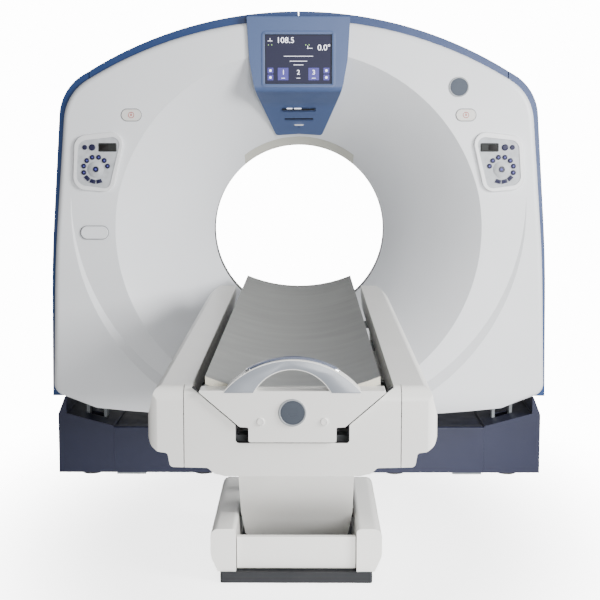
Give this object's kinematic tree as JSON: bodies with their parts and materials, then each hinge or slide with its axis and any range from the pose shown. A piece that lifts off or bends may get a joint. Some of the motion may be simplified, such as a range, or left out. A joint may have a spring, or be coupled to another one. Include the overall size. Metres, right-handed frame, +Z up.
{
  "type": "ct scanner",
  "caption": "Medical imaging scanner: a round-bored gantry that tilts on a floor base, with a patient table that rises on swing arms and slides a curved cradle into the bore.",
  "frame": {"origin": "on the floor, straight below the centre of the scan ring", "axes": "+X to the right seen from the table, +Y along the scan axis from the table into the gantry, +Z up"},
  "size_m": [2, 2.888, 1.869],
  "materials": {
    "cover_white": "satin",
    "cover_blue": "satin",
    "base_navy": "satin",
    "console_blue": "satin",
    "screen": "polished",
    "window_film": "satin",
    "laser_glass": "polished",
    "stop_cap": "satin",
    "pad_housing": "satin",
    "key_mat": "matte",
    "hard_key": "satin",
    "frame_paint": "satin",
    "bearing_steel": "ground",
    "rotor_alloy": "machined",
    "gear_steel": "oiled",
    "motor_paint": "satin",
    "belt_rubber": "matte",
    "slip_copper": "turned",
    "tube_paint": "satin",
    "electronics_case": "brushed",
    "table_beige": "satin",
    "table_white": "satin",
    "leg_white": "satin",
    "shield_white": "satin",
    "plinth_navy": "satin",
    "arm_paint": "satin",
    "carbon_top": "woven",
    "cap_white": "satin",
    "bar_blue": "satin",
    "pad_feet": "cast"
  },
  "bodies": {
    "base": {"base_frame": "frame_paint", "base_cover_front": "base_navy", "base_cover_rear": "base_navy", "base_pod_left": "base_navy", "base_pod_right": "base_navy", "levelling_pads": "pad_feet", "cable_duct": "plinth_navy", "tilt_motor": "motor_paint", "table_plinth": "plinth_navy", "leg_cover_left": "leg_white", "leg_cover_right": "leg_white", "lower_panel": "table_beige", "lift_motor": "motor_paint"},
    "tilt_pinion": {"tilt_pinion": "gear_steel"},
    "gantry": {"tilt_frame": "frame_paint", "tilt_sector": "gear_steel", "front_cover": "cover_white", "rear_cover": "cover_white", "side_cover_left": "cover_blue", "side_cover_right": "cover_blue", "top_cover_left": "cover_blue", "top_cover_right": "cover_blue", "scan_window": "window_film", "laser_window": "laser_glass", "display_console": "console_blue", "display_screen": "screen", "keypad_housing_left": "pad_housing", "keypad_housing_right": "pad_housing", "keypad_mat_left": "key_mat", "keypad_mat_right": "key_mat", "main_bearing": "bearing_steel", "drive_motor": "motor_paint", "drive_belt": "belt_rubber", "brush_block": "motor_paint"},
    "stop_button_left": {"stop_button_left": "stop_cap"},
    "stop_button_right": {"stop_button_right": "stop_cap"},
    "keypad_key_left": {"keypad_key_left": "hard_key"},
    "keypad_key_right": {"keypad_key_right": "hard_key"},
    "motor_pulley": {"motor_pulley": "gear_steel"},
    "rotor": {"rotor_drum": "rotor_alloy", "slip_ring": "slip_copper", "xray_tube": "tube_paint", "collimator": "motor_paint", "detector": "electronics_case", "hv_generator": "electronics_case", "heat_exchanger": "electronics_case"},
    "lift_arm_rear": {"lift_arm_rear": "arm_paint"},
    "lift_arm_front": {"lift_arm_front": "arm_paint", "arm_cover": "shield_white"},
    "table": {"table_frame": "frame_paint", "table_cover_left": "table_white", "table_cover_right": "table_white", "table_fascia": "table_beige", "table_pan": "table_beige", "cradle_motor": "motor_paint"},
    "drive_roller": {"drive_roller": "belt_rubber"},
    "cradle": {"cradle": "carbon_top", "cradle_end_cap": "cap_white"},
    "release_bar": {"release_bar": "bar_blue"}
  },
  "joints": [
    {"name": "gantry_tilt", "type": "hinge", "parent": "base", "child": "gantry", "pos_m": [0, 0, 1.015], "axis": [-1, 0, 0], "range_deg": [-30, 30]},
    {"name": "tilt_pinion_spin", "type": "hinge", "parent": "base", "child": "tilt_pinion", "pos_m": [0, 0, 0.407], "axis": [-1, 0, 0], "range_deg": [-360, 360]},
    {"name": "rotor_spin", "type": "hinge", "parent": "gantry", "child": "rotor", "pos_m": [0, 0, 1.015], "axis": [0, 1, 0], "continuous": true},
    {"name": "pulley_spin", "type": "hinge", "parent": "gantry", "child": "motor_pulley", "pos_m": [-0.56003, 0, 1.57503], "axis": [0, 1, 0], "continuous": true},
    {"name": "stop_press_left", "type": "slide", "parent": "gantry", "child": "stop_button_left", "axis": [0, 1, 0], "range_m": [0, 0.004], "stiffness_N_per_m": 2000},
    {"name": "stop_press_right", "type": "slide", "parent": "gantry", "child": "stop_button_right", "axis": [0, 1, 0], "range_m": [0, 0.004], "stiffness_N_per_m": 2000},
    {"name": "key_press_left", "type": "slide", "parent": "gantry", "child": "keypad_key_left", "axis": [0, 1, 0], "range_m": [0, 0.002], "stiffness_N_per_m": 800},
    {"name": "key_press_right", "type": "slide", "parent": "gantry", "child": "keypad_key_right", "axis": [0, 1, 0], "range_m": [0, 0.002], "stiffness_N_per_m": 800},
    {"name": "lift_swing", "type": "hinge", "parent": "base", "child": "lift_arm_rear", "pos_m": [0, -0.96, 0.13], "axis": [-1, 0, 0], "range_deg": [-27.66, 6.79]},
    {"name": "front_arm_swing", "type": "hinge", "parent": "base", "child": "lift_arm_front", "pos_m": [0, -1.13, 0.13], "axis": [-1, 0, 0], "range_deg": [-28.16, 7.29]},
    {"name": "table_level", "type": "hinge", "parent": "lift_arm_rear", "child": "table", "pos_m": [0, -1.41354, 0.65], "axis": [-1, 0, 0], "range_deg": [-7.29, 28.16]},
    {"name": "cradle_slide", "type": "slide", "parent": "table", "child": "cradle", "axis": [0, 1, 0], "range_m": [0, 1.7]},
    {"name": "roller_spin", "type": "hinge", "parent": "table", "child": "drive_roller", "pos_m": [-0.175, -0.6, 0.761], "axis": [1, 0, 0], "continuous": true},
    {"name": "release_press", "type": "slide", "parent": "cradle", "child": "release_bar", "axis": [0, 0, -1], "range_m": [0, 0.004], "stiffness_N_per_m": 1500}
  ],
  "couplings": [
    {"joint": "tilt_pinion_spin", "follows": "gantry_tilt", "ratio": -11.667},
    {"joint": "pulley_spin", "follows": "rotor_spin", "ratio": 13.3},
    {"joint": "front_arm_swing", "follows": "lift_swing", "ratio": 1},
    {"joint": "table_level", "follows": "lift_swing", "ratio": -1},
    {"joint": "roller_spin", "follows": "cradle_slide", "rad_per_m": -54.645}
  ]
}
